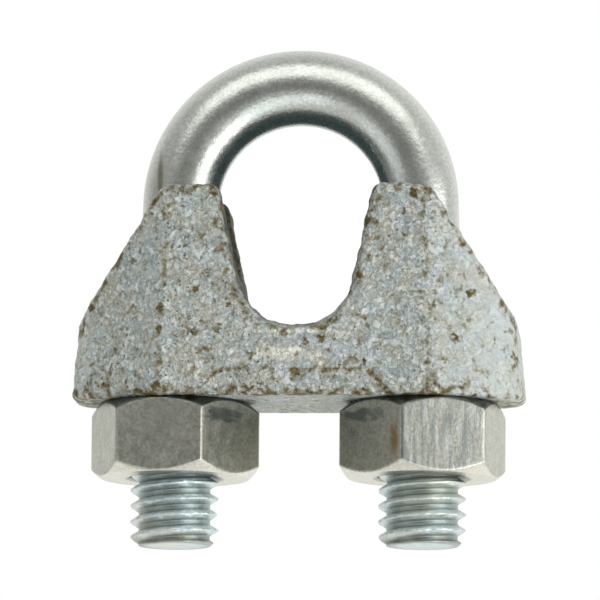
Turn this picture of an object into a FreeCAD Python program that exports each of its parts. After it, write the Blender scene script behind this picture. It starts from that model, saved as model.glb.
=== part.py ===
import FreeCAD, Part
import math
import os

# Wire rope clip for two parts of 3/8 inch rope: a cast saddle, a threaded U-bolt and two nuts.
# Millimetres. The origin is on the axis of the rope seat, halfway through the saddle.
# +Z points from the seat to the bow of the U-bolt, and the ropes lie along Y.

# Rope and seat
ROPE_DIAMETER = 9.525
SEAT_RADIUS = 5.3
SEAT_HEIGHT = 11.6
VALLEY_WALL_ANGLE = math.radians(12.0)

# Saddle casting
SADDLE_HEIGHT = 19.0
SADDLE_DEPTH = 15.0
SADDLE_HALF_WIDTH = 20.4
END_FLAT_HALF_DEPTH = 3.0
FRONT_FLAT_HALF_WIDTH = 12.2
TOP_FLAT_HALF_WIDTH = 11.4
TOP_HALF_DEPTH = 7.1
TOP_HALF_WIDTH = 18.4
KNEE_HEIGHT = 7.3
SHOULDER_RISE_PER_RUN = 1.53
END_ROUNDING = 2.6
CASTING_ROUNDING = 0.6
SHOULDER_ROUNDING = 2.0
MOUTH_ROUNDING = 0.9
LIP_DEPTH = 1.2
LIP_FLARE = 0.6
LEG_HOLE_RADIUS = 4.25
SLOT_CENTRE_HEIGHT = 15.0
FOOT_BEVEL_HALF_LENGTH = 9.0
FOOT_BEVEL_HEIGHT = 2.2
FOOT_BEVEL_DEPTH = 0.6
FOOT_BEVEL_ARCH_RISE = 4.0

# U-bolt
LEG_SPACING = 22.3
BOW_RADIUS = 10.85
LEG_SPLAY = math.radians(2.0)
SPLAY_BEND_RADIUS = 20.0
ROD_RADIUS = 3.42
THREAD_MAJOR_RADIUS = 3.95
THREAD_ROOT_RADIUS = 3.20
THREAD_PITCH = 25.4 / 18.0
THREAD_CREST_WIDTH = THREAD_PITCH / 8.0
THREAD_FLANK_TAN = math.tan(math.radians(30.0))
THREAD_LENGTH = 19.5
THREAD_LEAD_IN_TURNS = 1.5
THREAD_PROTRUSION = 6.05
STUD_CHAMFER = 0.7

# Nuts
NUT_ACROSS_FLATS = 13.5
NUT_HEIGHT = 6.75
NUT_BORE_RADIUS = 3.36
NUT_GROOVE_RADIUS = 4.08
NUT_COUNTERSINK_RADIUS = 4.25
NUT_FLANK_CLEARANCE = 0.10
NUT_CHAMFER_SLOPE = math.tan(math.radians(40.0))
NUT_CHAMFER_START_RADIUS = 6.65
NUT_SEAT_GAP = 0.05
NUT_CORNER_ANGLES = {"nut_left": -8.0, "nut_right": 19.0}

# Heights worked out from the driving dimensions
UNDERSIDE_Z = -SEAT_HEIGHT
TOWER_TOP_Z = UNDERSIDE_Z + SADDLE_HEIGHT
NUT_TOP_Z = UNDERSIDE_Z - NUT_SEAT_GAP
NUT_BOTTOM_Z = NUT_TOP_Z - NUT_HEIGHT
STUD_END_Z = NUT_BOTTOM_Z - THREAD_PROTRUSION
LEG_X = LEG_SPACING / 2.0
THREAD_TOP_Z = STUD_END_Z + THREAD_LENGTH
BOW_INNER_RADIUS = BOW_RADIUS - ROD_RADIUS
BOW_CENTRE_Z = 2.0 * ROPE_DIAMETER - SEAT_RADIUS - BOW_INNER_RADIUS

# How far a cutting body reaches past the surface that it cuts
OVERSHOOT = 1.0
THREAD_OVERSHOOT = 0.05

# Least turn, in degrees, between two faces whose edge is rounded
SHARP_EDGE_ANGLE = 15.0

X_AXIS = FreeCAD.Vector(1, 0, 0)
Y_AXIS = FreeCAD.Vector(0, 1, 0)
Z_AXIS = FreeCAD.Vector(0, 0, 1)


def closed_wire(points):
    """Straight-sided closed wire through the points."""
    vectors = [FreeCAD.Vector(*point) for point in points]
    return Part.makePolygon(vectors + vectors[:1])


def plan_corners(flat_half_width, half_depth, half_width, end_half_depth, height):
    """Eight plan corners of the saddle: a flat front and back, slanted facets and narrow ends."""
    quarter = [(flat_half_width, half_depth), (half_width, end_half_depth)]
    right = [(x, -y) for x, y in quarter] + [(x, y) for x, y in reversed(quarter)]
    left = [(-x, -y) for x, y in right]
    return [(x, y, height) for x, y in right + left]


def drafted_prism(bottom, top):
    """Flat-faced solid between two outlines that have the same number of corners."""
    faces = [Part.Face(closed_wire(bottom)), Part.Face(closed_wire(top))]
    for index in range(len(bottom)):
        following = (index + 1) % len(bottom)
        side = [bottom[index], bottom[following], top[following], top[index]]
        faces.append(Part.Face(closed_wire(side)))
    shell = Part.makeShell(faces)
    shell.sewShape()
    return Part.makeSolid(shell).removeSplitter()


def saddle_block():
    """Solid casting before the valley and the leg holes: drafted sides, sloping shoulders."""
    facet_run = SADDLE_HALF_WIDTH - FRONT_FLAT_HALF_WIDTH
    facet_rise = SADDLE_DEPTH / 2.0 - END_FLAT_HALF_DEPTH
    top_facet_run = TOP_HALF_WIDTH - TOP_FLAT_HALF_WIDTH
    top_end_half_depth = TOP_HALF_DEPTH - facet_rise * top_facet_run / facet_run
    bottom = plan_corners(FRONT_FLAT_HALF_WIDTH, SADDLE_DEPTH / 2.0, SADDLE_HALF_WIDTH,
                          END_FLAT_HALF_DEPTH, UNDERSIDE_Z)
    top = plan_corners(TOP_FLAT_HALF_WIDTH, TOP_HALF_DEPTH, TOP_HALF_WIDTH,
                       top_end_half_depth, TOWER_TOP_Z)
    drafted = drafted_prism(bottom, top)
    drafted = drafted.makeFillet(END_ROUNDING, [edge for edge in drafted.Edges if is_end_corner(edge)])

    end_draft = (SADDLE_HALF_WIDTH - TOP_HALF_WIDTH) / SADDLE_HEIGHT
    knee_half_width = SADDLE_HALF_WIDTH - end_draft * KNEE_HEIGHT
    shoulder_half_width = knee_half_width - (SADDLE_HEIGHT - KNEE_HEIGHT) / SHOULDER_RISE_PER_RUN
    foot_half_width = knee_half_width + KNEE_HEIGHT / SHOULDER_RISE_PER_RUN
    front_view = closed_wire([
        (foot_half_width, -SADDLE_DEPTH, UNDERSIDE_Z),
        (shoulder_half_width, -SADDLE_DEPTH, TOWER_TOP_Z),
        (-shoulder_half_width, -SADDLE_DEPTH, TOWER_TOP_Z),
        (-foot_half_width, -SADDLE_DEPTH, UNDERSIDE_Z),
    ])
    shoulders = Part.Face(front_view).extrude(Y_AXIS * 2.0 * SADDLE_DEPTH)
    shoulders = shoulders.makeFillet(SHOULDER_ROUNDING, [edge for edge in shoulders.Edges if is_crest(edge)])
    block = drafted.common(shoulders).Solids[0]
    return block.makeFillet(CASTING_ROUNDING, [edge for edge in block.Edges if is_sharp(edge, block)])


def is_end_corner(edge):
    """True for the upright corners between the slanted facets and the end faces."""
    box = edge.BoundBox
    middle_of_facet = (FRONT_FLAT_HALF_WIDTH + TOP_HALF_WIDTH) / 2.0
    return box.ZLength > box.XLength and abs(edge.CenterOfMass.x) > middle_of_facet


def is_crest(edge):
    """True for the two edges along Y where the shoulders meet the top."""
    box = edge.BoundBox
    return box.YLength > box.XLength and edge.CenterOfMass.z > 0.0


def is_sharp(edge, shape):
    """True where the two faces that meet at the edge turn by more than the least angle."""
    faces = shape.ancestorsOfType(edge, Part.Face)
    point = edge.valueAt((edge.FirstParameter + edge.LastParameter) / 2.0)
    normals = []
    for face in faces:
        u, v = face.Surface.parameter(point)
        normals.append(face.normalAt(u, v))
    return math.degrees(normals[0].getAngle(normals[1])) > SHARP_EDGE_ANGLE


def valley_side(flare, y):
    """Right-hand side of the valley's outline: wall above the seat, rounded mouth, rise past the tower."""
    radius = SEAT_RADIUS + flare
    slope = math.tan(VALLEY_WALL_ANGLE)
    low = FreeCAD.Vector(radius * math.cos(VALLEY_WALL_ANGLE), y, -radius * math.sin(VALLEY_WALL_ANGLE))
    corner = FreeCAD.Vector(low.x + (TOWER_TOP_Z - low.z) * slope, y, TOWER_TOP_Z)
    tangent = MOUTH_ROUNDING / math.tan(math.pi / 4.0 + VALLEY_WALL_ANGLE / 2.0)
    wall_direction = FreeCAD.Vector(math.sin(VALLEY_WALL_ANGLE), 0, math.cos(VALLEY_WALL_ANGLE))
    wall_end = corner - wall_direction * tangent
    mouth_end = corner + X_AXIS * tangent
    centre = mouth_end - Z_AXIS * MOUTH_ROUNDING
    middle = centre + (corner - centre).normalize() * MOUTH_ROUNDING
    return [low, wall_end, middle, mouth_end, mouth_end + Z_AXIS * OVERSHOOT]


def mirrored(point):
    """The point's mirror image in the YZ plane."""
    return FreeCAD.Vector(-point.x, point.y, point.z)


def valley_wire(flare, y):
    """Rope seat arc with a straight wall tangent to each end and rounded mouths, closed above the towers."""
    low, wall_end, middle, mouth_end, high = valley_side(flare, y)
    floor = FreeCAD.Vector(0, y, -SEAT_RADIUS - flare)
    return Part.Wire([
        Part.Arc(mirrored(low), floor, low).toShape(),
        Part.LineSegment(low, wall_end).toShape(),
        Part.Arc(wall_end, middle, mouth_end).toShape(),
        Part.LineSegment(mouth_end, high).toShape(),
        Part.LineSegment(high, mirrored(high)).toShape(),
        Part.LineSegment(mirrored(high), mirrored(mouth_end)).toShape(),
        Part.Arc(mirrored(mouth_end), mirrored(middle), mirrored(wall_end)).toShape(),
        Part.LineSegment(mirrored(wall_end), mirrored(low)).toShape(),
    ])


def valley_cut():
    """Rope valley through the saddle, with a flared lip at the front and the back."""
    half_depth = SADDLE_DEPTH / 2.0
    through = Part.Face(valley_wire(0.0, -half_depth - OVERSHOOT))
    cut = through.extrude(Y_AXIS * 2.0 * (half_depth + OVERSHOOT))
    outer_flare = LIP_FLARE * (LIP_DEPTH + OVERSHOOT) / LIP_DEPTH
    for side in (-1, 1):
        inner = valley_wire(0.0, side * (half_depth - LIP_DEPTH))
        outer = valley_wire(outer_flare, side * (half_depth + OVERSHOOT))
        cut = cut.fuse(Part.makeLoft([inner, outer], True, True))
    return cut


def leg_passage(x):
    """Leg hole through a tower, open towards the valley above a round-bottomed slot."""
    hole = Part.makeCylinder(LEG_HOLE_RADIUS, SADDLE_HEIGHT + 2.0 * OVERSHOOT,
                             FreeCAD.Vector(x, 0, UNDERSIDE_Z - OVERSHOOT), Z_AXIS)
    slot_z = UNDERSIDE_Z + SLOT_CENTRE_HEIGHT
    start = FreeCAD.Vector(min(x, 0.0), 0, slot_z)
    slot_bottom = Part.makeCylinder(LEG_HOLE_RADIUS, abs(x), start, X_AXIS)
    slot_rise = TOWER_TOP_Z + OVERSHOOT - slot_z
    corner = start - Y_AXIS * LEG_HOLE_RADIUS
    slot_body = Part.makeBox(abs(x), 2.0 * LEG_HOLE_RADIUS, slot_rise, corner)
    return hole.fuse(slot_bottom).fuse(slot_body)


def foot_bevel_cut(side):
    """Shallow bevel under an arch, along the lower edge of the front or back face."""
    face_y = SADDLE_DEPTH / 2.0 + OVERSHOOT
    slope = FOOT_BEVEL_DEPTH / FOOT_BEVEL_HEIGHT
    low_y = SADDLE_DEPTH / 2.0 - FOOT_BEVEL_DEPTH - slope * OVERSHOOT
    high_z = UNDERSIDE_Z + FOOT_BEVEL_HEIGHT + OVERSHOOT / slope
    wedge = closed_wire([
        (-SADDLE_HALF_WIDTH, side * low_y, UNDERSIDE_Z - OVERSHOOT),
        (-SADDLE_HALF_WIDTH, side * face_y, UNDERSIDE_Z - OVERSHOOT),
        (-SADDLE_HALF_WIDTH, side * face_y, high_z),
    ])
    wedge = Part.Face(wedge).extrude(X_AXIS * 2.0 * SADDLE_HALF_WIDTH)
    half_chord = FOOT_BEVEL_HALF_LENGTH
    arch_radius = (half_chord ** 2 + FOOT_BEVEL_ARCH_RISE ** 2) / (2.0 * FOOT_BEVEL_ARCH_RISE)
    arch_centre = FreeCAD.Vector(0, -SADDLE_DEPTH, UNDERSIDE_Z + FOOT_BEVEL_ARCH_RISE - arch_radius)
    arch = Part.makeCylinder(arch_radius, 2.0 * SADDLE_DEPTH, arch_centre, Y_AXIS)
    return wedge.common(arch)


def make_saddle():
    body = saddle_block()
    body = body.cut(valley_cut())
    for side in (-1, 1):
        body = body.cut(leg_passage(side * LEG_X))
        body = body.cut(foot_bevel_cut(side))
    return body.removeSplitter()


def thread_tool(first_z, turns, inner_radius, inner_width, outer_radius, outer_width):
    """Right-hand helical bar of trapezoid section, centred on first_z at the +X side."""
    cone_angle = 0
    helix = Part.makeLongHelix(THREAD_PITCH, THREAD_PITCH * turns, inner_radius, cone_angle)
    section = closed_wire([
        (inner_radius, 0, -inner_width / 2.0),
        (outer_radius, 0, -outer_width / 2.0),
        (outer_radius, 0, outer_width / 2.0),
        (inner_radius, 0, inner_width / 2.0),
    ])
    bar = Part.Wire(helix.Edges).makePipeShell([section], True, True)
    bar.translate(Z_AXIS * first_z)
    return bar


def ridge_width(radius):
    """Width of the external thread's ridge at a radius."""
    return THREAD_CREST_WIDTH + 2.0 * (THREAD_MAJOR_RADIUS - radius) * THREAD_FLANK_TAN


def threaded_leg(x, plain_top_z):
    """Threaded end of one leg, standing on its chamfered end face, with the start of the plain rod."""
    foot = FreeCAD.Vector(0, 0, STUD_END_Z)
    shank = Part.makeCylinder(THREAD_MAJOR_RADIUS, THREAD_LENGTH, foot, Z_AXIS)
    chamfer_radius = THREAD_MAJOR_RADIUS - STUD_CHAMFER
    tip = Part.makeCone(chamfer_radius, chamfer_radius + THREAD_LENGTH, THREAD_LENGTH, foot, Z_AXIS)
    run_out = Part.makeCone(ROD_RADIUS + THREAD_LENGTH, ROD_RADIUS, THREAD_LENGTH, foot, Z_AXIS)
    tool_radius = THREAD_MAJOR_RADIUS + THREAD_OVERSHOOT
    groove_start_z = STUD_END_Z - THREAD_LEAD_IN_TURNS * THREAD_PITCH
    groove_turns = THREAD_LENGTH / THREAD_PITCH + THREAD_LEAD_IN_TURNS
    groove = thread_tool(groove_start_z, groove_turns,
                         THREAD_ROOT_RADIUS, THREAD_PITCH - ridge_width(THREAD_ROOT_RADIUS),
                         tool_radius, THREAD_PITCH - ridge_width(tool_radius))
    plain = Part.makeCylinder(ROD_RADIUS, plain_top_z - THREAD_TOP_Z,
                              FreeCAD.Vector(0, 0, THREAD_TOP_Z), Z_AXIS)
    leg = shank.common(tip).common(run_out).fuse(plain).cut(groove)
    leg.translate(X_AXIS * x)
    return leg


def bow_side():
    """Right half of the rod's centreline, upwards: slight inward bend, straight leg, start of the bow."""
    bow_end_z = BOW_CENTRE_Z + BOW_RADIUS * math.sin(LEG_SPLAY)
    bow_end = FreeCAD.Vector(BOW_RADIUS * math.cos(LEG_SPLAY), 0, bow_end_z)
    bend_x = SPLAY_BEND_RADIUS * (1.0 - math.cos(LEG_SPLAY))
    straight_length = (LEG_X - bend_x - bow_end.x) / math.sin(LEG_SPLAY)
    outwards = FreeCAD.Vector(math.sin(LEG_SPLAY), 0, -math.cos(LEG_SPLAY))
    bend_top = bow_end + outwards * straight_length
    bend_centre_x = LEG_X - SPLAY_BEND_RADIUS
    bend_bottom = FreeCAD.Vector(LEG_X, 0, bend_top.z - SPLAY_BEND_RADIUS * math.sin(LEG_SPLAY))
    half_splay = LEG_SPLAY / 2.0
    bend_middle = FreeCAD.Vector(bend_centre_x + SPLAY_BEND_RADIUS * math.cos(half_splay), 0,
                                 bend_bottom.z + SPLAY_BEND_RADIUS * math.sin(half_splay))
    return bend_bottom, bend_middle, bend_top, bow_end


def make_u_bolt():
    bend_bottom, bend_middle, bend_top, bow_end = bow_side()
    crown = FreeCAD.Vector(0, 0, BOW_CENTRE_Z + BOW_RADIUS)
    centreline = Part.Wire([
        Part.Arc(bend_bottom, bend_middle, bend_top).toShape(),
        Part.LineSegment(bend_top, bow_end).toShape(),
        Part.Arc(bow_end, crown, mirrored(bow_end)).toShape(),
        Part.LineSegment(mirrored(bow_end), mirrored(bend_top)).toShape(),
        Part.Arc(mirrored(bend_top), mirrored(bend_middle), mirrored(bend_bottom)).toShape(),
    ])
    section = Part.Wire(Part.makeCircle(ROD_RADIUS, bend_bottom, Z_AXIS))
    bow = centreline.makePipeShell([section], True, False)
    legs = [threaded_leg(side * LEG_X, bend_bottom.z) for side in (-1, 1)]
    return bow.multiFuse(legs).removeSplitter()


def make_nut(x, corner_angle):
    """Hexagon nut with both ends chamfered and a right-hand internal thread."""
    corner_radius = NUT_ACROSS_FLATS / math.sqrt(3.0)
    corners = []
    for index in range(6):
        angle = math.radians(corner_angle + 60.0 * index)
        corners.append((corner_radius * math.cos(angle), corner_radius * math.sin(angle), NUT_BOTTOM_Z))
    blank = Part.Face(closed_wire(corners)).extrude(Z_AXIS * NUT_HEIGHT)
    cone_growth = NUT_HEIGHT / NUT_CHAMFER_SLOPE
    for base_z, direction in ((NUT_BOTTOM_Z, Z_AXIS), (NUT_TOP_Z, -Z_AXIS)):
        base = FreeCAD.Vector(0, 0, base_z)
        blank = blank.common(Part.makeCone(NUT_CHAMFER_START_RADIUS, NUT_CHAMFER_START_RADIUS + cone_growth,
                                           NUT_HEIGHT, base, direction))
        countersink = Part.makeCone(NUT_COUNTERSINK_RADIUS, NUT_BORE_RADIUS,
                                    NUT_COUNTERSINK_RADIUS - NUT_BORE_RADIUS, base, direction)
        blank = blank.cut(countersink)
    bore = Part.makeCylinder(NUT_BORE_RADIUS, NUT_HEIGHT, FreeCAD.Vector(0, 0, NUT_BOTTOM_Z), Z_AXIS)
    blank = blank.cut(bore)

    first_turn = math.floor((NUT_BOTTOM_Z - STUD_END_Z) / THREAD_PITCH) - 1
    last_turn = math.ceil((NUT_TOP_Z - STUD_END_Z) / THREAD_PITCH) + 1
    groove = thread_tool(STUD_END_Z + first_turn * THREAD_PITCH, last_turn - first_turn,
                         THREAD_ROOT_RADIUS, ridge_width(THREAD_ROOT_RADIUS) + 2.0 * NUT_FLANK_CLEARANCE,
                         NUT_GROOVE_RADIUS, ridge_width(NUT_GROOVE_RADIUS) + 2.0 * NUT_FLANK_CLEARANCE)
    nut = blank.cut(groove)
    nut.translate(X_AXIS * x)
    return nut


os.makedirs("parts", exist_ok=True)

nodes = {
    "saddle": make_saddle(),
    "u_bolt": make_u_bolt(),
    "nut_left": make_nut(-LEG_X, NUT_CORNER_ANGLES["nut_left"]),
    "nut_right": make_nut(LEG_X, NUT_CORNER_ANGLES["nut_right"]),
}

for name, shape in nodes.items():
    solid = shape.Solids[0]
    print(name, len(shape.Solids), "solid,", round(solid.Volume, 1), "cubic mm, valid:", solid.isValid())
    solid.exportStep("parts/" + name + ".step")
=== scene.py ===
import math

import bpy
import numpy as np
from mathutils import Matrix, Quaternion, Vector, noise


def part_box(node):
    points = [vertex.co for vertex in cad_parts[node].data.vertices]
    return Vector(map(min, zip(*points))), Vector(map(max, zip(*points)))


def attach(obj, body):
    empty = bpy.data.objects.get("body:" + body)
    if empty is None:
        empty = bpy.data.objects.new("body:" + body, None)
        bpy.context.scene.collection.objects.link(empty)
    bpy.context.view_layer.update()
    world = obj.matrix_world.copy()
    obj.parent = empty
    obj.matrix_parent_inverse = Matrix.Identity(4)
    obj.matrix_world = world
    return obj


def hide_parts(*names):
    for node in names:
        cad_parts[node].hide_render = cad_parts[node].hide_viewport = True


# Looks of a wire rope clip: a galvanised cast saddle, a zinc-plated U-bolt and two zinc-plated nuts.
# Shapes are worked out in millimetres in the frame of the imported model, and scaled to metres at the end.

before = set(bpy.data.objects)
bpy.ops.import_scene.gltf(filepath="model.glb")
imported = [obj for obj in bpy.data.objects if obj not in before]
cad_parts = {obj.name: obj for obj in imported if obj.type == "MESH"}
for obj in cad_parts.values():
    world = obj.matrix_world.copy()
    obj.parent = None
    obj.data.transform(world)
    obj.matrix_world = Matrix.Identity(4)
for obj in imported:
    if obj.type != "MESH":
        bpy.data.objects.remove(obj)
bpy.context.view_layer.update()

MM = 0.001

# Camera: where it stands round the clip, in degrees and metres, and its long lens
CAMERA_AZIMUTH = 4.2
CAMERA_ELEVATION = -8.0
CAMERA_DISTANCE = 0.67
CAMERA_LENS = 446.0
CAMERA_TARGET = (0.0, 0.0, -2.15)
CAMERA_ROLL = 0.5

# Saddle, repeated from the design
SEAT_RADIUS = 5.3
VALLEY_WALL_ANGLE = math.radians(12.0)
FOOT_BEVEL_HALF_LENGTH = 9.0
FOOT_BEVEL_HEIGHT = 2.2
FOOT_BEVEL_ARCH_RISE = 4.0

# Front and back faces of the casting begin and are complete at these depths from the middle
FACE_START_DEPTH = 5.9
FACE_FULL_DEPTH = 6.4

# Roughness of the casting in millimetres: wavy outline, fine relief and the swelling at the stubs
WAVE_HEIGHT = 0.14
RELIEF_HEIGHT = 0.13
STUB_SWELLING = 0.2

# Dirt, crust and broken stubs on the casting: places as x and height above the underside
FOOT_DIRT_HEIGHT = 0.75
EDGE_DIRT = 0.62
TOP_DIRT = 0.15
LEDGE_DIRT = 1.2
END_DIRT = 0.8
STUB_DIRT = 1.6
CRUSTS = [((-1.8, 3.5), (6.5, 1.1)), ((-6.0, 1.2), (3.6, 0.65)), ((0.0, 5.65), (5.5, 0.45))]
STUB_PLACE = (12.3, 0.75)
STUB_HALF_SIZE = (0.75, 0.75)

# Marks on the bow: places as x and z, and how strongly each one darkens. The mark is a stain on the left leg;
# the shade is painted shade on the front of the bow's right side.
BOW_MARK_CENTRE = (-12.5, 8.6)
BOW_MARK_HALF_SIZE = (0.45, 3.4)
BOW_MARK_STAIN = 0.65
BOW_SHADE_CENTRE = (9.6, 12.0)
BOW_SHADE_HALF_SIZE = (1.4, 4.5)
BOW_SHADE_DARKENING = 0.3
TIP_STAIN = 0.5

# U-bolt, repeated from the design
ROD_RADIUS = 3.42
BOW_RADIUS = 10.85
LEG_SPLAY = math.radians(2.0)
SPLAY_BEND_RADIUS = 20.0
THREAD_MAJOR_RADIUS = 3.95
THREAD_ROOT_RADIUS = 3.20
THREAD_PITCH = 25.4 / 18.0
THREAD_CREST_WIDTH = THREAD_PITCH / 8.0
THREAD_FLANK_TAN = math.tan(math.radians(30.0))
THREAD_LENGTH = 19.5
STUD_CHAMFER = 0.7

# Nuts, repeated from the design
NUT_ACROSS_FLATS = 13.5
NUT_BORE_RADIUS = 3.36
NUT_GROOVE_RADIUS = 4.08
NUT_COUNTERSINK_RADIUS = 4.25
NUT_FLANK_CLEARANCE = 0.10
NUT_CHAMFER_SLOPE = math.tan(math.radians(40.0))
NUT_CHAMFER_START_RADIUS = 6.65
NUT_CORNER_ANGLES = {"nut_left": math.radians(-8.0), "nut_right": math.radians(19.0)}

# Marks on the nuts: where round each nut, counted in sides from its first corner, and how high. Rust and
# streaks are the zinc's own; the third mark is painted shade on the sides of the two nuts that face each
# other, near their tops.
NUT_MARKS = {
    "nut_left": {"rusty": 1.8, "streaked": 1, "painted_side_shade": 5.35},
    "nut_right": {"rusty": 3.9, "streaked": 4, "painted_side_shade": 3.35},
}
RUST_HEIGHT = 2.9
SIDE_SHADE_HEIGHT = 5.2

# Studio: brightness of the world in front and what each direction adds, floor and flag in metres
WORLD_FRONT = 0.15
WORLD_TOWARDS = {"-X": 0.18, "+X": 0.40, "+Y": 0.70, "+Z": 0.40, "-Z": 0.65}
FLOOR_Z = -0.5
FLOOR_HALF = 12.0
FLAG_RADIUS = 0.0034
FLAG_FRONT_Y = -0.0015
FLAG_BACK_Y = 0.0080
FLAG_SIDES = 32

# How finely the meshes are cut
ROD_COLUMNS = 112
ROWS_PER_PITCH = 24
BOW_STEP = math.radians(2.0)
ROD_STEP = 0.5
NUT_COLUMNS_PER_SIDE = 32
CASTING_VOXEL = 0.22

# Wear of the thread's crests, on the part that stands out below the nut
THREAD_WEAR = 0.22
WORN_HEIGHT = 5.5

# Softness of the edges between two surfaces
THREAD_SOFTNESS = 0.035
NUT_EDGE_SOFTNESS = 0.07
NUT_FACE_SOFTNESS = 0.03


def soft_min(a, b, softness):
    """Smaller of two values, rounded over where they are close."""
    return -softness * np.logaddexp(-a / softness, -b / softness)


def soft_max(a, b, softness):
    """Larger of two values, rounded over where they are close."""
    return softness * np.logaddexp(a / softness, b / softness)


def smooth_step(value, low, high):
    """0 below low, 1 above high and a smooth rise between them."""
    share = np.clip((value - low) / (high - low), 0.0, 1.0)
    return share * share * (3.0 - 2.0 * share)


def new_object(name, points, faces, attributes):
    """Smooth-shaded mesh object from points in millimetres, with one float attribute per name."""
    mesh = bpy.data.meshes.new(name)
    mesh.from_pydata((np.asarray(points) * MM).tolist(), [], faces)
    mesh.validate()
    mesh.shade_smooth()
    for label, values in attributes.items():
        layer = mesh.attributes.new(label, "FLOAT", "POINT")
        layer.data.foreach_set("value", np.asarray(values, np.float32).ravel())
    piece = bpy.data.objects.new(name, mesh)
    bpy.context.scene.collection.objects.link(piece)
    return piece


def grid_faces(rows, columns, closed_rows):
    """Quads between neighbouring rows of a grid whose columns close on themselves."""
    faces = []
    for row in range(rows if closed_rows else rows - 1):
        low = row * columns
        high = (row + 1) % rows * columns
        for column in range(columns):
            following = (column + 1) % columns
            faces.append((low + column, low + following, high + following, high + column))
    return faces


def distance_to_crest(angle, height):
    """Distance along the thread's axis from a point to the middle of the nearest crest."""
    turns = height / THREAD_PITCH - angle / (2.0 * math.pi)
    return np.abs(turns - np.round(turns)) * THREAD_PITCH


def leg_radius(angle, height):
    """Radius of a leg at an angle round it and a height above its end: thread, chamfer, run-out, rod."""
    past_crest = distance_to_crest(angle, height) - THREAD_CREST_WIDTH / 2.0
    flank = THREAD_MAJOR_RADIUS - past_crest / THREAD_FLANK_TAN
    root = THREAD_ROOT_RADIUS + (ROD_RADIUS - THREAD_ROOT_RADIUS) * smooth_step(
        height, THREAD_LENGTH - THREAD_PITCH, THREAD_LENGTH)
    radius = soft_min(soft_max(flank, root, THREAD_SOFTNESS), THREAD_MAJOR_RADIUS, THREAD_SOFTNESS)
    radius = soft_min(radius, THREAD_MAJOR_RADIUS - STUD_CHAMFER + height, THREAD_SOFTNESS)
    run_out = soft_max(ROD_RADIUS + THREAD_LENGTH - height, ROD_RADIUS, THREAD_SOFTNESS)
    return soft_min(radius, run_out, THREAD_SOFTNESS)


def rod_stations(leg_x, stud_end_z, crown_z):
    """Stations along the right half of the rod, end to crown: x, z, angle of the outward normal."""
    bow_centre_z = crown_z - ROD_RADIUS - BOW_RADIUS
    bow_end_x = BOW_RADIUS * math.cos(LEG_SPLAY)
    bow_end_z = bow_centre_z + BOW_RADIUS * math.sin(LEG_SPLAY)
    bend_x = SPLAY_BEND_RADIUS * (1.0 - math.cos(LEG_SPLAY))
    straight = (leg_x - bend_x - bow_end_x) / math.sin(LEG_SPLAY)
    bend_top_z = bow_end_z - straight * math.cos(LEG_SPLAY)
    bend_bottom_z = bend_top_z - SPLAY_BEND_RADIUS * math.sin(LEG_SPLAY)
    thread_rows = round(THREAD_LENGTH / THREAD_PITCH * ROWS_PER_PITCH)
    stations = []
    for height in np.linspace(0.0, THREAD_LENGTH, thread_rows + 1):
        stations.append((leg_x, stud_end_z + height, 0.0))
    thread_top_z = stud_end_z + THREAD_LENGTH
    plain_rows = round((bend_bottom_z - thread_top_z) / ROD_STEP)
    for z in np.linspace(thread_top_z, bend_bottom_z, plain_rows + 1)[1:]:
        stations.append((leg_x, z, 0.0))
    bend_centre_x = leg_x - SPLAY_BEND_RADIUS
    for angle in (LEG_SPLAY / 2.0, LEG_SPLAY):
        stations.append((bend_centre_x + SPLAY_BEND_RADIUS * math.cos(angle),
                         bend_bottom_z + SPLAY_BEND_RADIUS * math.sin(angle), angle))
    straight_rows = round(straight / ROD_STEP)
    for distance in np.linspace(straight, 0.0, straight_rows + 1)[1:]:
        stations.append((bow_end_x + distance * math.sin(LEG_SPLAY),
                         bow_end_z - distance * math.cos(LEG_SPLAY), LEG_SPLAY))
    bow_rows = round((math.pi / 2.0 - LEG_SPLAY) / BOW_STEP)
    for angle in np.linspace(LEG_SPLAY, math.pi / 2.0, bow_rows + 1)[1:]:
        stations.append((BOW_RADIUS * math.cos(angle), bow_centre_z + BOW_RADIUS * math.sin(angle), angle))
    return stations


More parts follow.
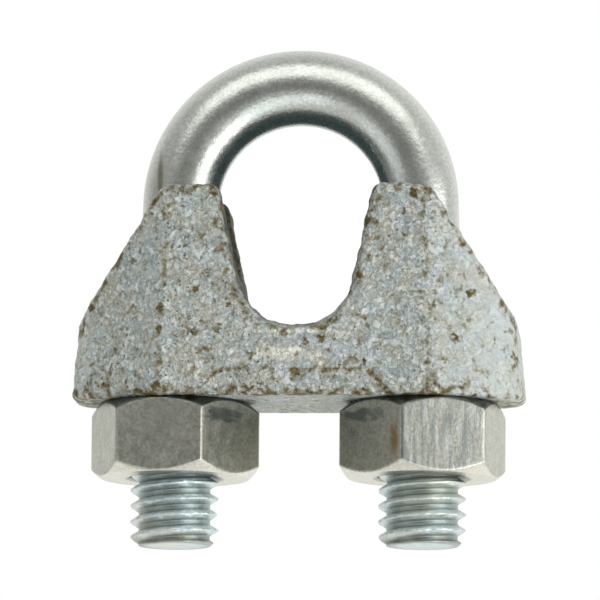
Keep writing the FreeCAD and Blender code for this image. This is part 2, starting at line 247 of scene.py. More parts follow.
def make_u_bolt():
    """U-bolt as one swept skin: ring after ring from the right-hand end over the bow to the left-hand end."""
    low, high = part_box("u_bolt")
    right_low, right_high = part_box("nut_right")
    leg_x = (right_low.x + right_high.x) / 2.0 / MM
    stud_end_z = low.z / MM
    right = rod_stations(leg_x, stud_end_z, high.z / MM)
    left = [(-x, z, math.pi - angle) for x, z, angle in reversed(right[:-1])]
    stations = np.array(right + left)
    around = np.arange(ROD_COLUMNS) * 2.0 * math.pi / ROD_COLUMNS

    x, z, lean = (stations[:, index, None] for index in range(3))
    height = z - stud_end_z
    on_left = x < 0.0
    thread_angle = np.where(on_left, math.pi - around, around + 0.0 * x)
    in_leg = height <= THREAD_LENGTH
    radius = np.where(in_leg, leg_radius(thread_angle, height), ROD_RADIUS)
    crest = smooth_step(radius, THREAD_ROOT_RADIUS + 0.3, THREAD_MAJOR_RADIUS)
    points = np.stack([
        x + radius * np.cos(around) * np.cos(lean),
        radius * np.sin(around) + 0.0 * x,
        z + radius * np.cos(around) * np.sin(lean),
    ], axis=-1)

    worn = noise_values(points.reshape(-1, 3), 0.8, 5.0, 2).reshape(radius.shape)
    inwards = -THREAD_WEAR * crest * smooth_step(worn, -0.2, 0.8) * (height < WORN_HEIGHT)
    points[..., 0] += inwards * np.cos(around) * np.cos(lean)
    points[..., 1] += inwards * np.sin(around)
    threaded = 1.0 - smooth_step(height + 0.0 * radius, THREAD_LENGTH - 0.5, THREAD_LENGTH + 0.5)
    tip = smooth_step(height, 0.0, 0.15) * (1.0 - smooth_step(height, 0.3, 1.2)) + 0.0 * radius
    on_front = smooth_step(-points[..., 1], 0.0, 1.0)
    mark = soft_spot(points[..., 0], points[..., 2], BOW_MARK_CENTRE, BOW_MARK_HALF_SIZE)
    # The shade spot is painted shade on the front of the bow's right side; it joins the real stains at the
    # tip and on the left leg.
    shade = soft_spot(points[..., 0], points[..., 2], BOW_SHADE_CENTRE, BOW_SHADE_HALF_SIZE)
    on_bow = np.maximum(BOW_MARK_STAIN * mark, BOW_SHADE_DARKENING * shade)
    stain_and_shade = np.maximum(TIP_STAIN * tip, on_front * on_bow)
    depth = np.clip((THREAD_MAJOR_RADIUS - radius) / (THREAD_MAJOR_RADIUS - THREAD_ROOT_RADIUS), 0.0, 1.0)
    count = points.shape[0] * points.shape[1]
    points = points.reshape(-1, 3)
    faces = grid_faces(len(stations), ROD_COLUMNS, False)
    faces = [face[::-1] for face in faces]
    for end, side in ((0, 1), (len(stations) - 1, -1)):
        first = end * ROD_COLUMNS
        centre = len(points)
        points = np.vstack([points, [side * leg_x, 0.0, stud_end_z]])
        for column in range(ROD_COLUMNS):
            following = (column + 1) % ROD_COLUMNS
            face = (first + column, first + following, centre)
            faces.append(face if end == 0 else face[::-1])
    extra = len(points) - count
    return new_object("u_bolt_plated", points, faces, {
        "threaded": np.append(threaded.ravel(), np.ones(extra)),
        "depth": np.append((depth * threaded).ravel(), np.zeros(extra)),
        "stain_and_shade": np.append(stain_and_shade.ravel(), np.zeros(extra)),
    })


def hexagon_radius(angle, corner_angle):
    """Distance from the axis to a hexagon with softened corners."""
    from_corner = np.mod(angle - corner_angle, math.pi / 3.0)
    half_flats = NUT_ACROSS_FLATS / 2.0
    this_side = half_flats / np.cos(from_corner - math.pi / 6.0)
    last_side = half_flats / np.cos(from_corner + math.pi / 6.0)
    next_side = half_flats / np.cos(np.minimum(math.pi / 2.0 - from_corner, 1.5))
    return soft_min(soft_min(this_side, last_side, NUT_EDGE_SOFTNESS), next_side, NUT_EDGE_SOFTNESS)


def nut_outline(height):
    """Turned profile of the nut's outside, from the top countersink out and down to the bottom one."""
    corner_radius = NUT_ACROSS_FLATS / math.sqrt(3.0) + 0.1
    radii = np.append(np.linspace(NUT_COUNTERSINK_RADIUS, NUT_CHAMFER_START_RADIUS - 0.25, 8)[1:],
                      np.linspace(NUT_CHAMFER_START_RADIUS - 0.2, corner_radius, 34))
    drop = NUT_FACE_SOFTNESS * np.logaddexp(
        0.0, (radii - NUT_CHAMFER_START_RADIUS) * NUT_CHAMFER_SLOPE / NUT_FACE_SOFTNESS)
    wall = np.linspace(height - drop[-1], drop[-1], 18)[1:-1]
    outline_radii = np.concatenate([radii, np.full(len(wall), corner_radius), radii[::-1]])
    outline_heights = np.concatenate([height - drop, wall, drop[::-1]])
    return outline_radii, outline_heights


def make_nut(name):
    """Hexagon nut as a closed grid: up the threaded bore, over the top, down the flats, under the bottom."""
    low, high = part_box(name)
    stud_end_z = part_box("u_bolt")[0].z / MM
    axis_x = (low.x + high.x) / 2.0 / MM
    bottom_z = low.z / MM
    height = (high.z - low.z) / MM
    corner_angle = NUT_CORNER_ANGLES[name]
    share = np.arange(NUT_COLUMNS_PER_SIDE) / NUT_COLUMNS_PER_SIDE
    side = math.pi / 3.0 * (0.5 - 0.5 * np.cos(math.pi * share))
    around = np.concatenate([corner_angle + math.pi / 3.0 * index + side for index in range(6)])

    bore_rows = round(height / THREAD_PITCH * ROWS_PER_PITCH)
    bore_z = np.linspace(0.0, height, bore_rows + 1)[:, None]
    distance = distance_to_crest(around[None, :], bottom_z + bore_z - stud_end_z)
    past_crest = distance - THREAD_CREST_WIDTH / 2.0 - NUT_FLANK_CLEARANCE
    groove = THREAD_MAJOR_RADIUS - past_crest / THREAD_FLANK_TAN
    bore = soft_max(soft_min(groove, NUT_GROOVE_RADIUS, THREAD_SOFTNESS), NUT_BORE_RADIUS, THREAD_SOFTNESS)
    from_end = np.minimum(bore_z, height - bore_z)
    bore = soft_max(bore, NUT_COUNTERSINK_RADIUS - from_end, THREAD_SOFTNESS)

    outline_radii, outline_heights = nut_outline(height)
    hexagon = hexagon_radius(around, corner_angle)[None, :]
    outside = soft_min(outline_radii[:, None], hexagon, NUT_EDGE_SOFTNESS)
    turned = smooth_step(hexagon - outline_radii[:, None], -0.05, 0.08)
    # Painted shadow of the saddle starts from this band just inside the flats; below it is kept to the top
    # chamfer.
    painted_gap_shadow = smooth_step(hexagon - outline_radii[:, None], -0.30, -0.05)

    marks = NUT_MARKS[name]
    past_corner = (around - corner_angle) / (math.pi / 3.0)
    rusty = 1.0 - smooth_step(np.abs(past_corner - marks["rusty"]), 0.02, 0.10)
    streaked = np.where(np.floor(past_corner + 1e-6) == marks["streaked"], 1.0, 0.12)
    # Painted shade on the side that faces the other nut, near its top.
    painted_side_shade = 1.0 - smooth_step(np.abs(past_corner - marks["painted_side_shade"]), 0.1, 0.6)

    radius = np.vstack([bore, outside])
    z = np.vstack([bore_z + 0.0 * bore, outline_heights[:, None] + 0.0 * outside])
    points = np.stack([
        axis_x + radius * np.cos(around)[None, :],
        radius * np.sin(around)[None, :],
        bottom_z + z,
    ], axis=-1)
    # The upper attribute is painted shadow of the saddle on the top chamfer and the nut's top rows.
    top_chamfer = np.vstack([np.zeros_like(bore), painted_gap_shadow]) * smooth_step(z, height - 1.8, height - 1.0)
    faces = grid_faces(len(radius), len(around), True)
    return new_object(name + "_plated", points.reshape(-1, 3), [face[::-1] for face in faces], {
        "threaded": np.vstack([np.ones_like(bore), np.zeros_like(outside)]),
        "turned": np.vstack([np.zeros_like(bore), turned]),
        "upper": np.maximum(top_chamfer, 0.6 * smooth_step(z, height - 0.9, height)),
        "rusty": rusty * (1.0 - smooth_step(np.abs(z - RUST_HEIGHT), 0.5, 2.2)),
        "streaked": streaked + 0.0 * z,
        "painted_side_shade": painted_side_shade * (1.0 - smooth_step(np.abs(z - SIDE_SHADE_HEIGHT), 0.1, 1.3)),
    })


def remeshed(node, voxel):
    """The CAD node's surface as even small quads: vertices in millimetres, and the mesh."""
    source = bpy.data.objects.new("casting_source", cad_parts[node].data.copy())
    bpy.context.scene.collection.objects.link(source)
    skin = source.modifiers.new("skin", "REMESH")
    skin.mode = "VOXEL"
    skin.voxel_size = voxel * MM
    smooth = source.modifiers.new("smooth", "SMOOTH")
    smooth.factor = 0.5
    smooth.iterations = 4
    evaluated = source.evaluated_get(bpy.context.evaluated_depsgraph_get())
    mesh = bpy.data.meshes.new_from_object(evaluated)
    bpy.data.objects.remove(source)
    return mesh


def vertex_array(mesh, field):
    """A mesh's vertex positions or normals as an array."""
    values = np.zeros(len(mesh.vertices) * 3, np.float32)
    mesh.vertices.foreach_get(field, values)
    return values.reshape(-1, 3).astype(float)


def spread(mesh, values, rounds):
    """The values, averaged along the mesh's edges a number of times."""
    edges = np.zeros(len(mesh.edges) * 2, np.int32)
    mesh.edges.foreach_get("vertices", edges)
    first, second = edges[0::2], edges[1::2]
    degree = np.bincount(edges, minlength=len(values)).astype(float)
    for _ in range(rounds):
        total = np.bincount(first, values[second], len(values))
        total = total + np.bincount(second, values[first], len(values))
        values = (values + total) / (1.0 + degree)
    return values


def edge_measure(mesh, points, normals):
    """How sharply the surface bends at each vertex: above 0 on outside edges, below 0 in inside corners."""
    edges = np.zeros(len(mesh.edges) * 2, np.int32)
    mesh.edges.foreach_get("vertices", edges)
    first, second = edges[0::2], edges[1::2]
    step = points[second] - points[first]
    bend = np.einsum("ij,ij->i", normals[second] - normals[first], step) / np.einsum("ij,ij->i", step, step)
    total = np.bincount(first, bend, len(points)) + np.bincount(second, bend, len(points))
    return total / np.bincount(edges, minlength=len(points))


def noise_values(points, scale, shift, octaves=1):
    """Smooth noise from about -1 to 1 at each point, with features of 1 / scale millimetres."""
    values = np.zeros(len(points))
    for octave in range(octaves):
        factor = 2.0 ** octave
        placed = points * scale * factor + shift + 17.0 * octave
        values += np.array([noise.noise(Vector(place)) for place in placed]) / factor
    return values


def valley_share(points):
    """1 on the rope seat and the valley's walls, 0 a little way into the saddle."""
    x, z = np.abs(points[:, 0]), points[:, 2]
    seat = np.hypot(x, np.minimum(z, 0.0)) - SEAT_RADIUS
    wall = (x - z * math.tan(VALLEY_WALL_ANGLE)) * math.cos(VALLEY_WALL_ANGLE) - SEAT_RADIUS
    depth = np.where(z < 0.0, seat, wall)
    return 1.0 - smooth_step(depth, 0.3, 0.8)


def ledge_height(x):
    """Height of the foot bevel's arched upper edge above the underside, below 0 past its ends."""
    radius = (FOOT_BEVEL_HALF_LENGTH ** 2 + FOOT_BEVEL_ARCH_RISE ** 2) / (2.0 * FOOT_BEVEL_ARCH_RISE)
    arch = FOOT_BEVEL_ARCH_RISE - radius + np.sqrt(np.maximum(radius ** 2 - x ** 2, 0.0))
    return np.minimum(arch, FOOT_BEVEL_HEIGHT)


def soft_spot(x, z, centre, half_size):
    """1 in the middle of an ellipse, 0 outside it."""
    across, up = (x - centre[0]) / half_size[0], (z - centre[1]) / half_size[1]
    return 1.0 - smooth_step(np.hypot(across, up), 0.3, 1.0)


def stub_share(x, height):
    """1 on the two broken stubs at the foot, 0 away from them."""
    return soft_spot(np.abs(x), height, STUB_PLACE, STUB_HALF_SIZE)


def soiled_share(points, height, edge):
    """Dirt at each vertex: on sharp edges and tops, under the ledge, along the foot and on the stubs."""
    x = points[:, 0]
    on_face = smooth_step(np.abs(points[:, 1]), FACE_START_DEPTH, FACE_FULL_DEPTH)
    ledge = 1.0 - smooth_step(np.abs(height - ledge_height(x)), 0.05, 0.4)
    foot = 1.0 - smooth_step(np.abs(height - 0.2), 0.1, FOOT_DIRT_HEIGHT)
    ends = (1.0 - smooth_step(height, 0.3, 2.0)) * smooth_step(np.abs(x), 14.0, 18.0)
    top = smooth_step(points[:, 2], 5.6, 7.0)
    soiled = EDGE_DIRT * smooth_step(edge, 0.08, 0.35) + TOP_DIRT * top
    soiled = np.maximum(soiled, on_face * np.maximum(LEDGE_DIRT * ledge, foot))
    soiled = np.maximum(soiled, END_DIRT * ends)
    return np.maximum(soiled, on_face * STUB_DIRT * stub_share(x, height))


def make_saddle():
    """Saddle casting: the designed shape with a rough sand-cast skin, wavy edges and two broken stubs."""
    mesh = remeshed("saddle", CASTING_VOXEL)
    low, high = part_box("saddle")
    points = vertex_array(mesh, "co") / MM
    normals = vertex_array(mesh, "normal")
    edge = spread(mesh, edge_measure(mesh, points, normals), 3)
    height = points[:, 2] - low.z / MM
    x = points[:, 0]
    front = smooth_step(-points[:, 1], FACE_START_DEPTH, FACE_FULL_DEPTH)

    waves = noise_values(points, 0.28, 3.0)
    lumps = noise_values(points, 0.9, 11.0, 3)
    rough = smooth_step(height, 0.1, 1.2)
    relief = rough * RELIEF_HEIGHT * lumps
    crusted = front * sum(soft_spot(x, height, centre, half_size) for centre, half_size in CRUSTS)
    shift = WAVE_HEIGHT * rough * waves + relief + STUB_SWELLING * front * stub_share(x, height)
    labels = {
        "soiled": soiled_share(points, height, edge),
        "crusted": crusted,
        # Painted shade, with some dark stain, on the rope seat and the valley walls, short of the front face.
        "inside": valley_share(points) * (1.0 - smooth_step(-points[:, 1], 6.2, 6.8)),
        "smooth": np.maximum(0.5 * smooth_step(x, 11.8, 13.0) + 0.45 * smooth_step(x, 14.0, 18.0),
                             0.5 * smooth_step(-x, 17.5, 19.0)),
        # The relief label also drives painted shade in the hollows.
        "relief": relief / 0.1,
    }
    points += normals * shift[:, None]

    mesh.vertices.foreach_set("co", (points * MM).astype(np.float32).ravel())
    mesh.update()
    mesh.shade_smooth()
    for label, values in labels.items():
        layer = mesh.attributes.new(label, "FLOAT", "POINT")
        layer.data.foreach_set("value", values.astype(np.float32))
    piece = bpy.data.objects.new("saddle_casting", mesh)
    bpy.context.scene.collection.objects.link(piece)
    return piece


class Surface:
    """Short calls for building one material round a Principled shader."""

    def __init__(self, name):
        self.material = bpy.data.materials.new(name)
        self.material.use_nodes = True
        self.tree = self.material.node_tree
        self.shader = self.tree.nodes["Principled BSDF"]
        self.place = self.tree.nodes.new("ShaderNodeTexCoord").outputs["Object"]

    def add(self, kind, inputs, **settings):
        """New node with its settings made and its inputs linked or set."""
        node = self.tree.nodes.new(kind)
        for label, value in settings.items():
            setattr(node, label, value)
        for label, value in inputs.items():
            self.put(node.inputs[label], value)
        return node

    def put(self, socket, value):
        if isinstance(value, bpy.types.NodeSocket):
            self.tree.links.new(value, socket)
        else:
            socket.default_value = value

    def attribute(self, name):
        return self.add("ShaderNodeAttribute", {}, attribute_name=name).outputs["Fac"]

    def noise(self, scale, detail=2.0, stretch=(1.0, 1.0, 1.0), shift=0.0):
        """Noise with features of about 1 / scale metres, squeezed along the axes by stretch."""
        mapped = self.add("ShaderNodeMapping", {
            "Vector": self.place, "Scale": stretch, "Location": (shift, shift, shift)}).outputs["Vector"]
        return self.add("ShaderNodeTexNoise", {
            "Vector": mapped, "Scale": scale, "Detail": detail, "Roughness": 0.55}).outputs["Fac"]

    def cells(self, scale):
        """Distance to the nearest of many scattered points, as between grains."""
        return self.add("ShaderNodeTexVoronoi", {"Vector": self.place, "Scale": scale}).outputs["Distance"]

    def ramp(self, value, low, high, to_low=0.0, to_high=1.0):
        """Value between low and high, spread smoothly over the new range."""
        return self.add("ShaderNodeMapRange", {
            "Value": value, "From Min": low, "From Max": high, "To Min": to_low, "To Max": to_high,
        }, interpolation_type="SMOOTHSTEP").outputs["Result"]

    def math(self, operation, first, second):
        return self.add("ShaderNodeMath", {0: first, 1: second}, operation=operation).outputs["Value"]

    def plus(self, first, second):
        return self.math("ADD", first, second)

    def times(self, first, second):
        return self.math("MULTIPLY", first, second)

    def mix(self, share, first, second):
        """Colour between two colours."""
        node = self.add("ShaderNodeMixRGB", {"Fac": share, "Color1": first, "Color2": second})
        return node.outputs["Color"]

    def bump(self, height, distance, strength=1.0, under=None):
        inputs = {"Height": height, "Distance": distance, "Strength": strength}
        if under is not None:
            inputs["Normal"] = under
        return self.add("ShaderNodeBump", inputs).outputs["Normal"]

    def finish(self, colour, roughness, normal, metallic):
        self.put(self.shader.inputs["Base Color"], colour)
        self.put(self.shader.inputs["Roughness"], roughness)
        self.put(self.shader.inputs["Normal"], normal)
        self.put(self.shader.inputs["Metallic"], metallic)
        return self.material


def colour(red, green, blue):
    return (red, green, blue, 1.0)


def plated_rod():
    """Bright zinc on the rod: fine grain with sparkle, faint clouds, bluish in the thread and darker towards
    its roots, stained at the tip and on the left leg, with painted shade on the front of the bow's right
    side.
    """
    surface = Surface("plated_rod_zinc")
    threaded = surface.attribute("threaded")
    depth = surface.attribute("depth")
    stain_and_shade = surface.attribute("stain_and_shade")
    grain = surface.noise(3200.0, 4.0)
    mottle = surface.noise(850.0, 3.0, shift=0.2)
    cloud = surface.noise(150.0, 2.0, shift=0.4)
    rod = surface.mix(surface.ramp(grain, 0.3, 0.7), colour(0.54, 0.57, 0.54), colour(0.69, 0.71, 0.68))
    rod = surface.mix(surface.ramp(cloud, 0.45, 0.8, 0.0, 0.5), rod, colour(0.57, 0.56, 0.48))
    # Real stain at the tip and on the left leg, and painted shade on the bow's right side, all turn the zinc
    # dark olive and brown.
    stain_and_shade_share = surface.plus(stain_and_shade, surface.times(surface.plus(grain, mottle), 0.4))
    rod = surface.mix(surface.ramp(stain_and_shade_share, 0.5, 1.2, 0.0, 0.85), rod, colour(0.20, 0.195, 0.13))
    thread = surface.mix(surface.ramp(grain, 0.35, 0.65), colour(0.52, 0.62, 0.64), colour(0.74, 0.80, 0.80))
    thread = surface.mix(surface.ramp(cloud, 0.45, 0.7, 0.0, 0.6), thread, colour(0.74, 0.73, 0.64))
    # Darker towards the thread's roots.
    thread = surface.mix(surface.ramp(depth, 0.6, 1.0, 0.0, 0.6), thread, colour(0.20, 0.24, 0.21))
    thread = surface.mix(surface.ramp(stain_and_shade_share, 0.5, 1.2, 0.0, 0.85), thread, colour(0.16, 0.13, 0.07))
    base = surface.mix(threaded, rod, thread)
    roughness = surface.ramp(mottle, 0.25, 0.75, 0.23, 0.30)
    roughness = surface.plus(roughness, surface.times(threaded, 0.14))
    fine = surface.bump(grain, 0.000035, 0.6)
    normal = surface.bump(mottle, 0.00005, 0.45, fine)
    return surface.finish(base, roughness, normal, 1.0)


def plated_nut():
    """Satin zinc on a nut: speckled flats, paler turned faces, upright streaks, dull thread, painted shadow
    of the saddle over the top, painted shade on the side facing the other nut.
    """
    surface = Surface("plated_nut_zinc")
    turned = surface.attribute("turned")
    threaded = surface.attribute("threaded")
    upper = surface.attribute("upper")
    rusty = surface.attribute("rusty")
    streaked = surface.attribute("streaked")
    painted_side_shade = surface.attribute("painted_side_shade")
    speckle = surface.noise(3600.0, 3.0)
    mottle = surface.noise(900.0, 3.0, shift=0.9)
    cloud = surface.noise(240.0, 2.0, shift=1.3)
    streak = surface.noise(2600.0, 4.0, stretch=(1.0, 1.0, 0.13))
    side_shade_noise = surface.noise(900.0, 4.0, stretch=(0.6, 0.6, 1.6))
    flat = surface.mix(surface.ramp(speckle, 0.35, 0.65), colour(0.43, 0.43, 0.36), colour(0.58, 0.58, 0.52))
    flat = surface.mix(surface.ramp(cloud, 0.45, 0.75, 0.0, 0.25), flat, colour(0.42, 0.45, 0.43))
    dark_streaks = surface.times(streaked, surface.ramp(streak, 0.44, 0.64, 0.0, 0.7))
    flat = surface.mix(dark_streaks, flat, colour(0.27, 0.31, 0.32))
    pale_streaks = surface.times(streaked, surface.ramp(streak, 0.36, 0.46, 0.6, 0.0))
    flat = surface.mix(pale_streaks, flat, colour(0.60, 0.65, 0.67))
    flat = surface.mix(surface.times(rusty, surface.ramp(mottle, 0.3, 0.6)), flat,
                       colour(0.36, 0.24, 0.12))
    face = surface.mix(surface.ramp(speckle, 0.3, 0.7), colour(0.62, 0.61, 0.54), colour(0.78, 0.77, 0.70))
    base = surface.mix(turned, flat, face)
    base = surface.mix(surface.ramp(threaded, 0.0, 1.0, 0.0, 0.8), base, colour(0.35, 0.38, 0.36))
    # Painted shadow of the saddle over the nut's top, with a mottled edge.
    painted_gap_shadow = surface.plus(upper, surface.times(mottle, 0.8))
    base = surface.mix(surface.ramp(painted_gap_shadow, 0.75, 1.35, 0.0, 0.9), base, colour(0.07, 0.085, 0.08))
    # Painted shade on the side facing the other nut, broken up by stretched noise.
    side_shade_amount = surface.plus(side_shade_noise, surface.times(painted_side_shade, 0.5))
    base = surface.mix(surface.ramp(side_shade_amount, 0.72, 1.0, 0.0, 0.8), base, colour(0.13, 0.155, 0.15))
    roughness = surface.ramp(mottle, 0.25, 0.75, 0.26, 0.38)
    fine = surface.bump(speckle, 0.00003, 0.6)
    normal = surface.bump(streak, 0.00003, 0.5, fine)
    return surface.finish(base, roughness, normal, 1.0)


def galvanised_casting():
    """Hot-dipped zinc on rough iron: crumpled grey skin, small dark pits, cream crust, brown dirt, painted
    shade in the relief's hollows, and painted shade with some dark stain in the rope valley.
    """
    surface = Surface("galvanised_cast_iron")
    soiled = surface.attribute("soiled")
    crusted = surface.attribute("crusted")
    inside = surface.attribute("inside")
    relief = surface.attribute("relief")
    smooth = surface.attribute("smooth")
    grain = surface.noise(3000.0, 4.0)
    plates = surface.noise(1100.0, 4.0, shift=5.3)
    crease = surface.math("ABSOLUTE", surface.math("SUBTRACT", plates, 0.5), 0.0)
    spots = surface.noise(1150.0, 2.5, shift=0.7)
    cells = surface.cells(430.0)
    pits = surface.noise(2300.0, 1.0, shift=7.1)
    region = surface.noise(330.0, 2.0, shift=2.1)
    tint = surface.noise(560.0, 3.0, shift=3.7)
    base = surface.mix(surface.ramp(tint, 0.36, 0.62), colour(0.49, 0.49, 0.42), colour(0.48, 0.55, 0.56))
    base = surface.mix(surface.ramp(plates, 0.35, 0.5, 0.35, 0.0), base, colour(0.31, 0.33, 0.31))
    base = surface.mix(surface.ramp(plates, 0.52, 0.66, 0.0, 0.5), base, colour(0.70, 0.73, 0.72))
    base = surface.mix(surface.ramp(grain, 0.3, 0.5, 0.5, 0.0), base, colour(0.24, 0.26, 0.24))
    base = surface.mix(surface.ramp(grain, 0.5, 0.66, 0.0, 0.65), base, colour(0.80, 0.83, 0.82))
    crust = surface.plus(region, surface.times(crusted, 0.33))
    crust = surface.plus(crust, surface.times(plates, 0.9))
    base = surface.mix(surface.ramp(crust, 1.14, 1.34, 0.0, 0.7), base, colour(0.92, 0.91, 0.82))
    base = surface.mix(surface.ramp(crease, 0.0, 0.03, 0.5, 0.0), base, colour(0.17, 0.18, 0.14))
    pitted = surface.plus(pits, surface.times(region, 0.35))
    base = surface.mix(surface.ramp(pitted, 0.42, 0.52, 0.85, 0.0), base, colour(0.08, 0.10, 0.09))
    # Painted shade in the hollows of the displaced relief.
    base = surface.mix(surface.ramp(relief, -0.9, 0.0, 0.35, 0.0), base, colour(0.20, 0.22, 0.20))
    zinc = surface.mix(surface.ramp(tint, 0.36, 0.62), colour(0.56, 0.58, 0.54), colour(0.57, 0.62, 0.62))
    zinc = surface.mix(surface.ramp(grain, 0.4, 0.6, 0.4, 0.0), zinc, colour(0.42, 0.45, 0.44))
    clean = surface.times(smooth, surface.ramp(plates, 0.35, 0.6, 1.0, 0.75))
    base = surface.mix(clean, base, zinc)
    # The rope valley goes almost black: painted shade with some dark stain.
    shaded = surface.times(inside, surface.ramp(plates, 0.35, 0.6, 0.98, 0.8))
    base = surface.mix(shaded, base, colour(0.06, 0.058, 0.04))
    dirt = surface.plus(spots, surface.times(soiled, 0.17))
    dirt = surface.plus(dirt, surface.times(grain, -0.18))
    round_blots = surface.ramp(surface.plus(cells, surface.times(grain, 0.25)), 0.25, 0.42, 1.0, 0.0)
    blots = surface.times(round_blots, surface.ramp(tint, 0.50, 0.55))
    dirt = surface.plus(dirt, surface.times(blots, 0.25))
    base = surface.mix(surface.ramp(dirt, 0.46, 0.60, 0.0, 0.65), base, colour(0.20, 0.165, 0.07))
    soil = surface.mix(surface.ramp(grain, 0.35, 0.6), colour(0.055, 0.038, 0.005), colour(0.16, 0.12, 0.03))
    base = surface.mix(surface.ramp(dirt, 0.56, 0.70, 0.0, 0.95), base, soil)
    roughness = surface.ramp(grain, 0.2, 0.8, 0.42, 0.62)
    creased = surface.math("MINIMUM", crease, 0.08)
    height = surface.plus(surface.times(grain, 0.6), surface.times(creased, 3.0))
    height = surface.plus(height, surface.times(plates, 0.8))
    height = surface.times(height, surface.ramp(smooth, 0.0, 1.0, 1.0, 0.3))
    normal = surface.bump(height, 0.00042, 1.0)
    return surface.finish(base, roughness, normal, 0.3)


def direction(azimuth, elevation):
    """Unit vector from the clip towards a place round it, azimuth 0 in front, in degrees."""
    turn, rise = math.radians(azimuth), math.radians(elevation)
    return Vector((math.sin(turn) * math.cos(rise), -math.cos(turn) * math.cos(rise), math.sin(rise)))


def aim(item, azimuth, elevation, distance, roll=0.0):
    """Places a camera or light round the clip and turns it to face it."""
    towards = direction(azimuth, elevation)
    item.location = Vector(CAMERA_TARGET) * MM + towards * distance
    facing = (-towards).to_track_quat("-Z", "Y")
    item.rotation_euler = (facing @ Quaternion((0.0, 0.0, 1.0), math.radians(roll))).to_euler()
    bpy.context.scene.collection.objects.link(item)


def softbox(name, azimuth, elevation, distance, width, height, radiance, tint):
    """Rectangular studio light facing the clip."""
    light = bpy.data.lights.new(name, "AREA")
    light.shape = "RECTANGLE"
    light.size = width
    light.size_y = height
    light.energy = radiance * math.pi * width * height
    light.color = tint
    item = bpy.data.objects.new(name, light)
    item.visible_camera = False
    aim(item, azimuth, elevation, distance)


def make_camera():
    lens = bpy.data.cameras.new("camera")
    lens.lens = CAMERA_LENS
    lens.clip_start = 0.01
    lens.clip_end = 20.0
    camera = bpy.data.objects.new("camera", lens)
    aim(camera, CAMERA_AZIMUTH, CAMERA_ELEVATION, CAMERA_DISTANCE, CAMERA_ROLL)
    bpy.context.scene.camera = camera


def stage_piece(name, corners, faces, tint, glow):
    """Piece of the studio with a plain, slightly glowing material."""
    mesh = bpy.data.meshes.new(name)
    mesh.from_pydata(corners, [], faces)
    item = bpy.data.objects.new(name, mesh)
    bpy.context.scene.collection.objects.link(item)
    material = bpy.data.materials.new(name)
    material.use_nodes = True
    shader = material.node_tree.nodes["Principled BSDF"]
    shader.inputs["Base Color"].default_value = tint
    shader.inputs["Roughness"].default_value = 0.9
    shader.inputs["Emission Color"].default_value = tint
    shader.inputs["Emission Strength"].default_value = glow
    mesh.materials.append(material)
    return item


def make_world():
    """White to the camera; to everything else a soft room, brighter towards some sides than others."""
    world = bpy.data.worlds.new("studio")
    world.use_nodes = True
    tree = world.node_tree
    tree.nodes.clear()
    look = tree.nodes.new("ShaderNodeTexCoord")
    split = tree.nodes.new("ShaderNodeSeparateXYZ")
    tree.links.new(look.outputs["Generated"], split.inputs[0])
    lit = tree.nodes.new("ShaderNodeBackground")
    lit.inputs["Color"].default_value = colour(1.0, 1.0, 0.97)
    level = lit.inputs["Strength"]
    for side, share in WORLD_TOWARDS.items():
        facing = tree.nodes.new("ShaderNodeMath")
        facing.operation = "MULTIPLY"
        facing.use_clamp = True
        facing.inputs[1].default_value = 1.0 if side[0] == "+" else -1.0
        tree.links.new(split.outputs[side[1]], facing.inputs[0])
        total = tree.nodes.new("ShaderNodeMath")
        total.operation = "MULTIPLY_ADD"
        total.inputs[1].default_value = share
        total.inputs[2].default_value = WORLD_FRONT
        tree.links.new(facing.outputs[0], total.inputs[0])
        tree.links.new(total.outputs[0], level)
        level = total.inputs[2]
    seen = tree.nodes.new("ShaderNodeBackground")
    seen.inputs["Color"].default_value = colour(1.0, 1.0, 1.0)
    choose = tree.nodes.new("ShaderNodeMixShader")
    path = tree.nodes.new("ShaderNodeLightPath")
    output = tree.nodes.new("ShaderNodeOutputWorld")
    tree.links.new(path.outputs["Is Camera Ray"], choose.inputs[0])
    tree.links.new(lit.outputs[0], choose.inputs[1])
    tree.links.new(seen.outputs[0], choose.inputs[2])
    tree.links.new(choose.outputs[0], output.inputs["Surface"])
    bpy.context.scene.world = world


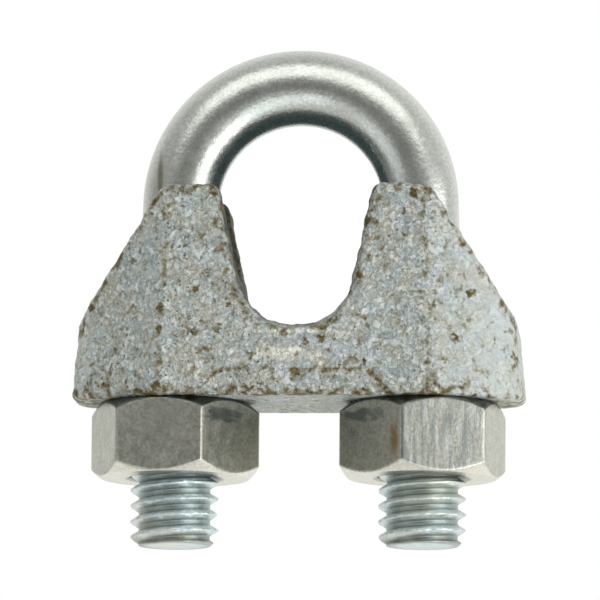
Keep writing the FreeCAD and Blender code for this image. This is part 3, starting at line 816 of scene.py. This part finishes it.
def make_flag():
    """Dark bar through the bow's opening, which only reflections see, so that the bow's inside reads dark."""
    crown_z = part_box("u_bolt")[1].z
    centre_z = crown_z - (ROD_RADIUS + BOW_RADIUS) * MM
    corners = []
    for y in (FLAG_FRONT_Y, FLAG_BACK_Y):
        for index in range(FLAG_SIDES):
            angle = 2.0 * math.pi * index / FLAG_SIDES
            corners.append((FLAG_RADIUS * math.cos(angle), y, centre_z + FLAG_RADIUS * math.sin(angle)))
    ends = [tuple(range(FLAG_SIDES)), tuple(range(FLAG_SIDES, 2 * FLAG_SIDES))]
    faces = grid_faces(2, FLAG_SIDES, False) + ends
    flag = stage_piece("flag", corners, faces, colour(0.03, 0.05, 0.055), 0.4)
    flag.visible_camera = False
    flag.visible_shadow = False
    flag.visible_diffuse = False


def make_studio():
    """Pale floor well below the clip, the flag, and soft lights in front and on both sides."""
    make_world()
    signs = ((-1.0, -1.0), (1.0, -1.0), (1.0, 1.0), (-1.0, 1.0))
    corners = [(FLOOR_HALF * along, FLOOR_HALF * across, FLOOR_Z) for along, across in signs]
    floor = stage_piece("floor", corners, [(0, 1, 2, 3)], colour(0.85, 0.85, 0.84), 0.1)
    floor.visible_glossy = False
    make_flag()
    softbox("top_front", 2.0, 48.0, 0.6, 0.85, 0.42, 1.12, (1.0, 0.985, 0.95))
    softbox("right", 62.0, -14.0, 0.6, 0.54, 0.66, 1.5, (1.0, 1.0, 1.0))
    softbox("low_front", 20.0, -40.0, 0.45, 0.6, 0.24, 0.75, (0.90, 0.96, 1.0))
    softbox("left", -48.0, -14.0, 0.6, 0.36, 0.40, 0.46, (0.90, 0.96, 1.0))
    bpy.context.scene.view_settings.view_transform = "Standard"


make_camera()
make_studio()

casting = make_saddle()
casting.data.materials.clear()
casting.data.materials.append(galvanised_casting())
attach(casting, "saddle")
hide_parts("saddle")

u_bolt = make_u_bolt()
u_bolt.data.materials.append(plated_rod())
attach(u_bolt, "u_bolt")
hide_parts("u_bolt")

nut_zinc = plated_nut()
for node in ("nut_left", "nut_right"):
    nut = make_nut(node)
    nut.data.materials.append(nut_zinc)
    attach(nut, node)
    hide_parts(node)
